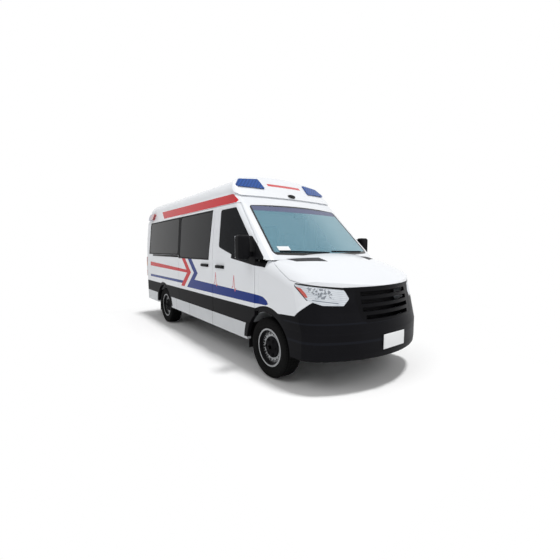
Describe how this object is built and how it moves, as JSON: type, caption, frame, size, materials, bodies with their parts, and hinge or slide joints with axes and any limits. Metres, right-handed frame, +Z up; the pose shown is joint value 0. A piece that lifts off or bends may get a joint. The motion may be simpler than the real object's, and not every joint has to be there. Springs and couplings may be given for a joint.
{
  "type": "ambulance",
  "caption": "High-roof panel-van ambulance with hinged cab and rear doors, opening bonnet, steered front wheels, roof beacons and a hollow patient compartment.",
  "frame": {"origin": "on the ground, at the middle of the overall length and width", "axes": "+X forward along the length, +Y to the vehicle's left, +Z up"},
  "size_m": [5.9318, 2.384, 2.586],
  "materials": {
    "white_paint": "gloss white paint",
    "black_plastic": "grained black plastic",
    "dark_glass": "privacy glass",
    "clear_glass": "tinted glass",
    "lamp_lens": "clear lens",
    "blue_lens": "blue lens",
    "red_lens": "red lens",
    "floor_sheet": "vinyl over steel",
    "interior_panel": "light grey lining",
    "chassis_black": "black chassis coat",
    "engine_metal": "cast alloy",
    "exhaust_steel": "dull steel",
    "tank_plastic": "moulded plastic",
    "dash_plastic": "soft dark plastic",
    "seat_cover": "woven cover",
    "tyre_rubber": "tyre rubber",
    "wheel_steel": "silver wheel paint",
    "flap_rubber": "black rubber"
  },
  "bodies": {
    "body": {"cab_frame": "white_paint", "cab_seats": "seat_cover", "chassis_frame": "chassis_black", "dashboard": "dash_plastic", "engine": "engine_metal", "engine_mounts": "chassis_black", "exhaust": "exhaust_steel", "fender_left": "white_paint", "fender_right": "white_paint", "floor": "floor_sheet", "front_beacons": "blue_lens", "front_bumper": "black_plastic", "front_suspension": "chassis_black", "fuel_tank": "tank_plastic", "grille": "black_plastic", "headlamp_left": "lamp_lens", "headlamp_right": "lamp_lens", "leaf_springs": "chassis_black", "mud_flaps": "flap_rubber", "partition": "interior_panel", "propeller_shaft": "chassis_black", "radiator": "engine_metal", "rear_axle": "chassis_black", "rear_beacons": "red_lens", "rear_bumper": "black_plastic", "roof_camera": "black_plastic", "roof_fairing": "white_paint", "roof_panel": "white_paint", "side_glass_left": "dark_glass", "side_glass_right": "dark_glass", "side_panel_left": "white_paint", "side_panel_right": "white_paint", "sliding_door": "white_paint", "sliding_door_glass": "dark_glass", "tail_lamps": "red_lens", "windscreen": "clear_glass"},
    "wheel_front_left": {"tyre_front_left": "tyre_rubber", "rim_front_left": "wheel_steel"},
    "wheel_front_right": {"tyre_front_right": "tyre_rubber", "rim_front_right": "wheel_steel"},
    "wheel_rear_left": {"tyre_rear_left": "tyre_rubber", "rim_rear_left": "wheel_steel"},
    "wheel_rear_right": {"tyre_rear_right": "tyre_rubber", "rim_rear_right": "wheel_steel"},
    "knuckle_left": {"knuckle_left": "chassis_black"},
    "knuckle_right": {"knuckle_right": "chassis_black"},
    "steering_wheel": {"steering_wheel": "dash_plastic"},
    "front_door_left": {"front_door_left": "white_paint", "front_door_glass_left": "clear_glass", "mirror_left": "black_plastic"},
    "front_door_right": {"front_door_right": "white_paint", "front_door_glass_right": "clear_glass", "mirror_right": "black_plastic"},
    "rear_door_left": {"rear_door_left": "white_paint", "rear_door_glass_left": "dark_glass"},
    "rear_door_right": {"rear_door_right": "white_paint", "rear_door_glass_right": "dark_glass"},
    "bonnet": {"bonnet": "white_paint"}
  },
  "joints": [
    {"name": "steer_left", "type": "hinge", "parent": "body", "child": "knuckle_left", "pos_m": [1.935, 0.77, 0.356], "axis": [0, 0, 1], "range_deg": [-35, 35]},
    {"name": "spin_front_left", "type": "hinge", "parent": "knuckle_left", "child": "wheel_front_left", "pos_m": [1.935, 0.856, 0.356], "axis": [0, 1, 0], "continuous": true},
    {"name": "spin_rear_left", "type": "hinge", "parent": "body", "child": "wheel_rear_left", "pos_m": [-1.73, 0.856, 0.356], "axis": [0, 1, 0], "continuous": true},
    {"name": "open_front_door_left", "type": "hinge", "parent": "body", "child": "front_door_left", "pos_m": [1.7085, 1.003, 1.1], "axis": [0, 0, -1], "range_deg": [0, 70]},
    {"name": "open_rear_door_left", "type": "hinge", "parent": "body", "child": "rear_door_left", "pos_m": [-2.952, 0.8885, 1.3], "axis": [0, 0, -1], "range_deg": [0, 180]},
    {"name": "steer_right", "type": "hinge", "parent": "body", "child": "knuckle_right", "pos_m": [1.935, -0.77, 0.356], "axis": [0, 0, 1], "range_deg": [-35, 35]},
    {"name": "spin_front_right", "type": "hinge", "parent": "knuckle_right", "child": "wheel_front_right", "pos_m": [1.935, -0.856, 0.356], "axis": [0, 1, 0], "continuous": true},
    {"name": "spin_rear_right", "type": "hinge", "parent": "body", "child": "wheel_rear_right", "pos_m": [-1.73, -0.856, 0.356], "axis": [0, 1, 0], "continuous": true},
    {"name": "open_front_door_right", "type": "hinge", "parent": "body", "child": "front_door_right", "pos_m": [1.7085, -1.003, 1.1], "axis": [0, 0, 1], "range_deg": [0, 70]},
    {"name": "open_rear_door_right", "type": "hinge", "parent": "body", "child": "rear_door_right", "pos_m": [-2.952, -0.8885, 1.3], "axis": [0, 0, 1], "range_deg": [0, 180]},
    {"name": "turn_steering_wheel", "type": "hinge", "parent": "body", "child": "steering_wheel", "pos_m": [1.18, 0.43, 1.19], "axis": [-0.8, 0, 0.6], "range_deg": [-500, 500]},
    {"name": "open_bonnet", "type": "hinge", "parent": "body", "child": "bonnet", "pos_m": [1.936, 0, 1.441], "axis": [0, -1, 0], "range_deg": [0, 50]}
  ],
  "couplings": [
    {"joint": "steer_right", "follows": "steer_left", "ratio": 1},
    {"joint": "turn_steering_wheel", "follows": "steer_left", "ratio": 14}
  ]
}
